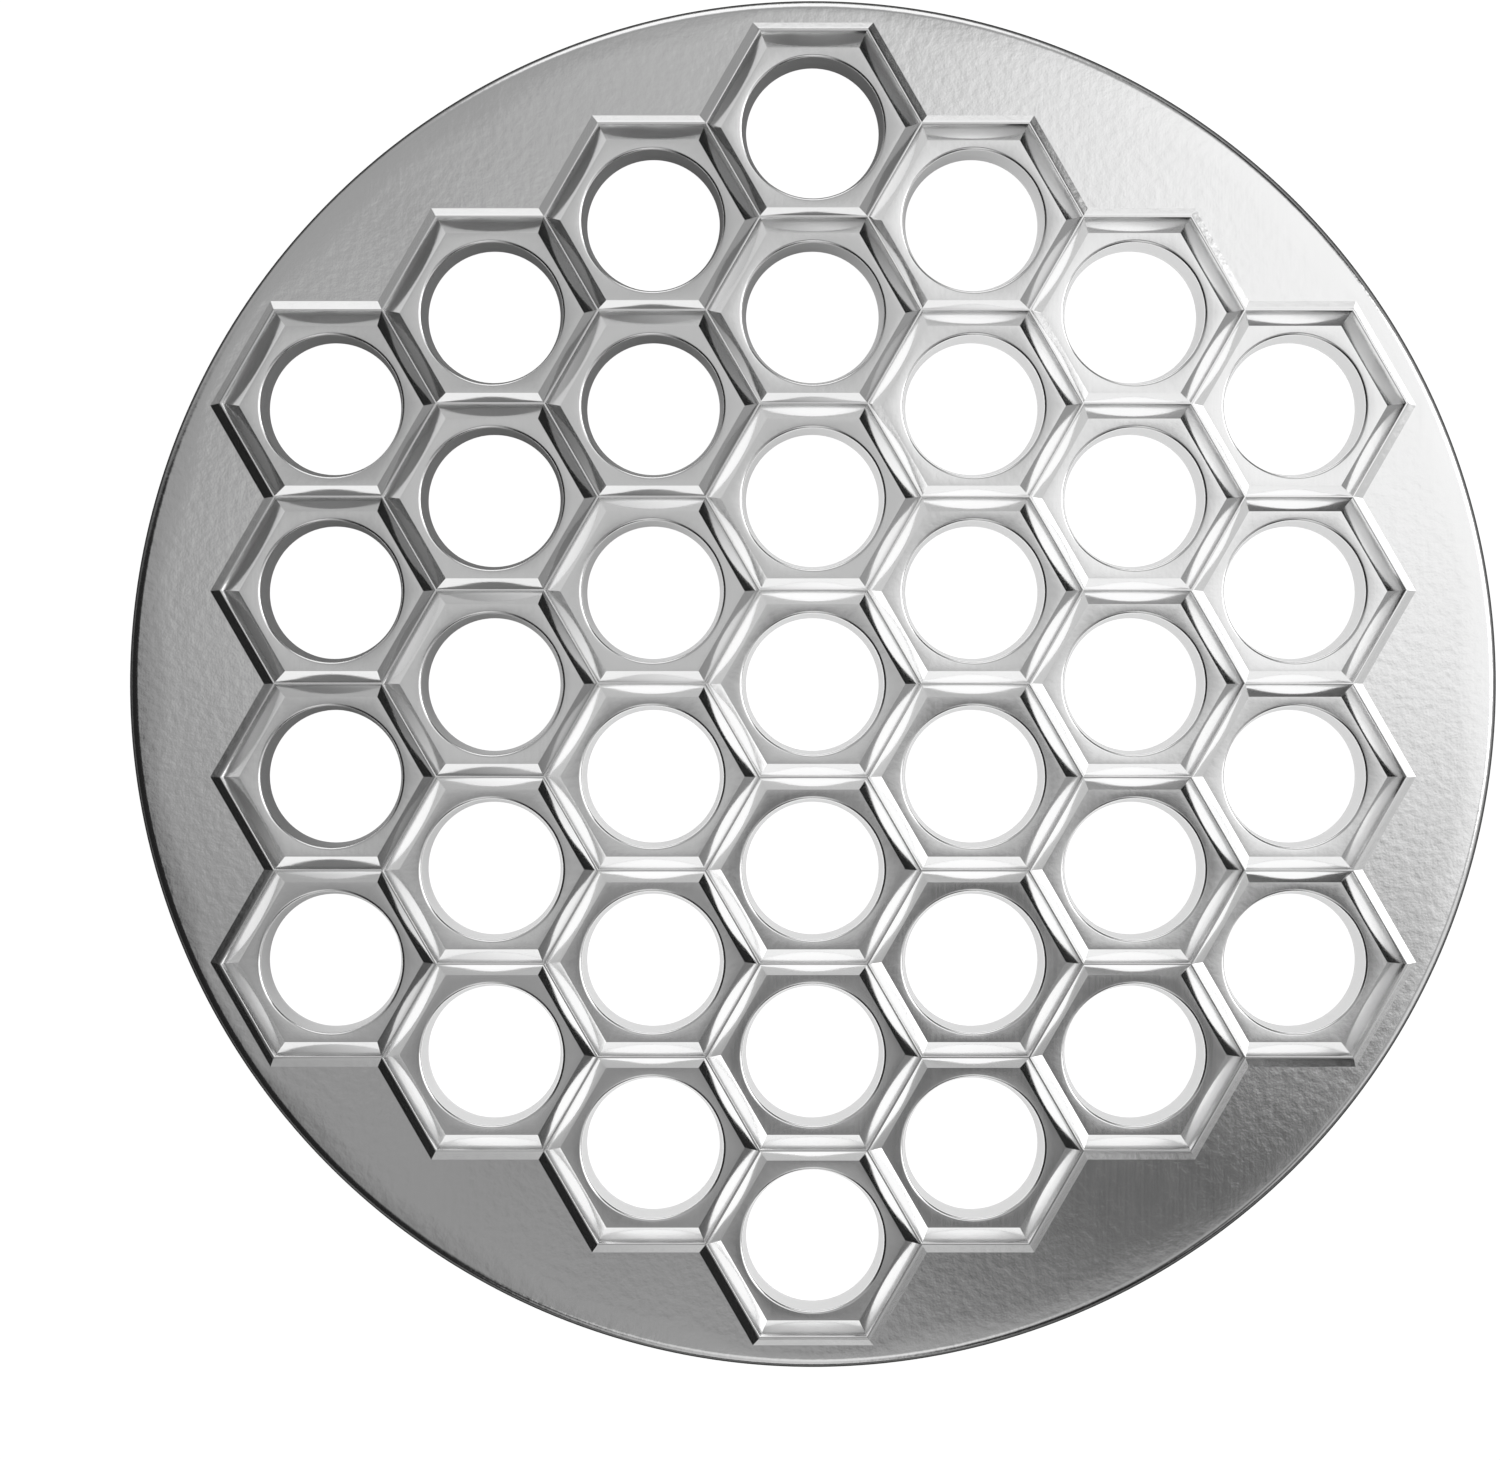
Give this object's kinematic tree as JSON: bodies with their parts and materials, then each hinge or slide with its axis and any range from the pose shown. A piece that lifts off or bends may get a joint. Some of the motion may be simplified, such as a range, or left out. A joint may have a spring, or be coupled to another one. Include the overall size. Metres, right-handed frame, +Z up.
{
  "type": "dumpling mould",
  "caption": "Round cast aluminium dumpling mould: a honeycomb of sharp cutting ridges with a round through hole in each hexagonal cell, on a flat rim.",
  "frame": {"origin": "centre of the circle that the plate stands on, at table height", "axes": "+Z up, out of the ridged side; +X and +Y lie in the plate, with the honeycomb's corners on the Y axis and level sides of each cell along X"},
  "size_m": [0.245, 0.245, 0.01],
  "materials": {
    "rim_metal": "satin, finely pitted as cast and lightly polished",
    "ridge_metal": "polished",
    "cell_metal": "satin, as cast"
  },
  "bodies": {
    "root": {"rim_plate": "rim_metal", "rim_skirt": "rim_metal", "border_ridges": "ridge_metal", "level_ridges": "ridge_metal", "rising_ridges": "ridge_metal", "falling_ridges": "ridge_metal", "centre_cell": "cell_metal", "inner_ring_cells": "cell_metal", "middle_ring_cells": "cell_metal", "outer_ring_cells": "cell_metal"}
  },
  "joints": []
}
